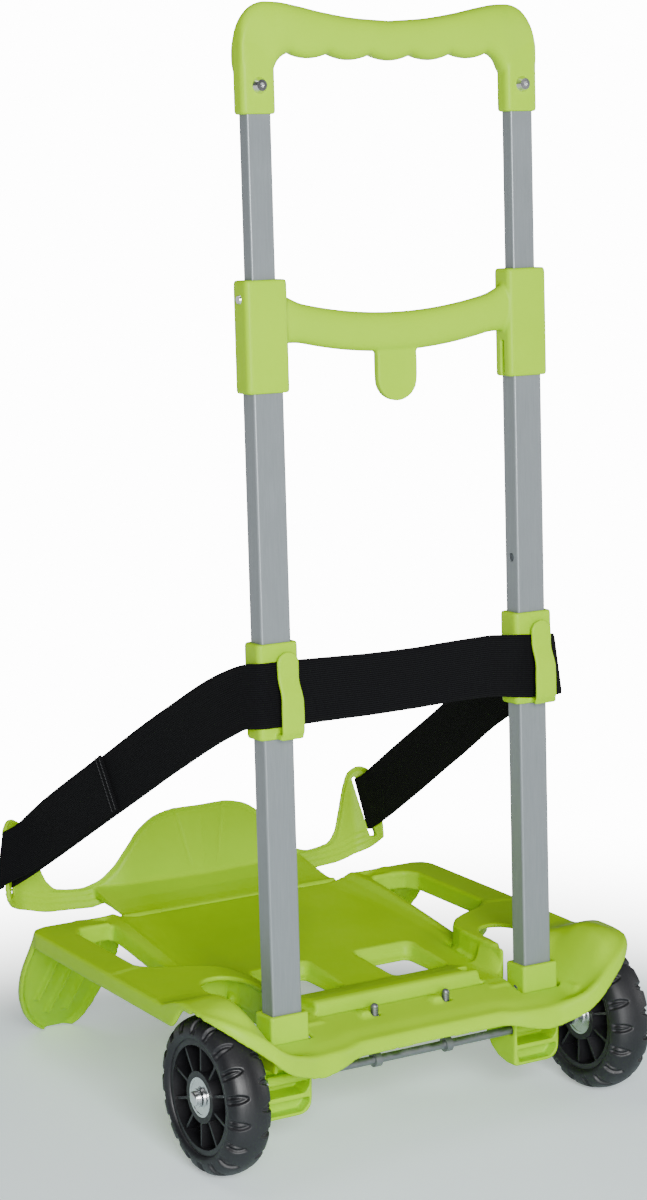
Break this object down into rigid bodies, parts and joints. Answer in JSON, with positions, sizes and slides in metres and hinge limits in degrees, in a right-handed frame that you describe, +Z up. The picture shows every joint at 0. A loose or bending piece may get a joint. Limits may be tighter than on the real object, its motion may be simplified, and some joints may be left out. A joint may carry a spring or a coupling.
{
  "type": "folding bag trolley",
  "caption": "Two-wheeled folding bag trolley with a moulded base, telescopic handle, front cradle flap and elastic strap.",
  "frame": {"origin": "on the floor, in the middle of the footprint's bounding box", "axes": "+Z up, +Y to the front (load side), +X to the right seen from behind the handle"},
  "size_m": [0.3376, 0.3682, 0.7407],
  "materials": {
    "green_plastic": "satin",
    "grey_tube": "satin",
    "axle_steel": "brushed",
    "bright_steel": "polished",
    "tyre_rubber": "matte",
    "black_plastic": "satin",
    "slider_plastic": "matte",
    "black_webbing": "woven"
  },
  "bodies": {
    "base": {"chassis": "green_plastic", "cradle_pin_left": "axle_steel", "cradle_pin_right": "axle_steel", "tube_foot_left": "green_plastic", "tube_foot_right": "green_plastic", "axle": "axle_steel", "axle_nut_left": "bright_steel", "axle_nut_right": "bright_steel", "staple_left": "axle_steel", "staple_right": "axle_steel", "spacer_left": "bright_steel", "spacer_right": "bright_steel", "outer_tube_left": "grey_tube", "outer_tube_right": "grey_tube", "foot_rivet_left": "bright_steel", "foot_rivet_right": "bright_steel", "yoke": "green_plastic", "yoke_screw_left": "bright_steel", "yoke_screw_right": "bright_steel", "strap_clip_left": "green_plastic", "strap_clip_right": "green_plastic", "clip_rivet_left": "bright_steel", "clip_rivet_right": "bright_steel", "strap_centre": "black_webbing", "strap_left": "black_webbing", "strap_right": "black_webbing", "strap_end_pad": "black_webbing"},
    "handle": {"inner_tube_left": "grey_tube", "inner_tube_right": "grey_tube", "tube_slider_left": "slider_plastic", "tube_slider_right": "slider_plastic", "grip": "green_plastic", "grip_bolt_left": "bright_steel", "grip_bolt_right": "bright_steel"},
    "cradle": {"cradle": "green_plastic"},
    "wheel_left": {"rim_left": "black_plastic", "tyre_left": "tyre_rubber", "bearing_left_outer": "bright_steel", "bearing_left_inner": "bright_steel"},
    "wheel_right": {"rim_right": "black_plastic", "tyre_right": "tyre_rubber", "bearing_right_outer": "bright_steel", "bearing_right_inner": "bright_steel"}
  },
  "joints": [
    {"name": "handle_slide", "type": "slide", "parent": "base", "child": "handle", "axis": [0, 0.0464, 0.9989], "range_m": [-0.098, 0]},
    {"name": "cradle_fold", "type": "hinge", "parent": "base", "child": "cradle", "pos_m": [0, 0.10815, 0.0964], "axis": [1, 0, 0], "range_deg": [0, 60], "deforming": ["strap_left", "strap_right", "strap_end_pad"]},
    {"name": "wheel_left_spin", "type": "hinge", "parent": "base", "child": "wheel_left", "pos_m": [-0.151, -0.13185, 0.0523], "axis": [1, 0, 0], "continuous": true},
    {"name": "wheel_right_spin", "type": "hinge", "parent": "base", "child": "wheel_right", "pos_m": [0.151, -0.13185, 0.0523], "axis": [1, 0, 0], "continuous": true}
  ]
}
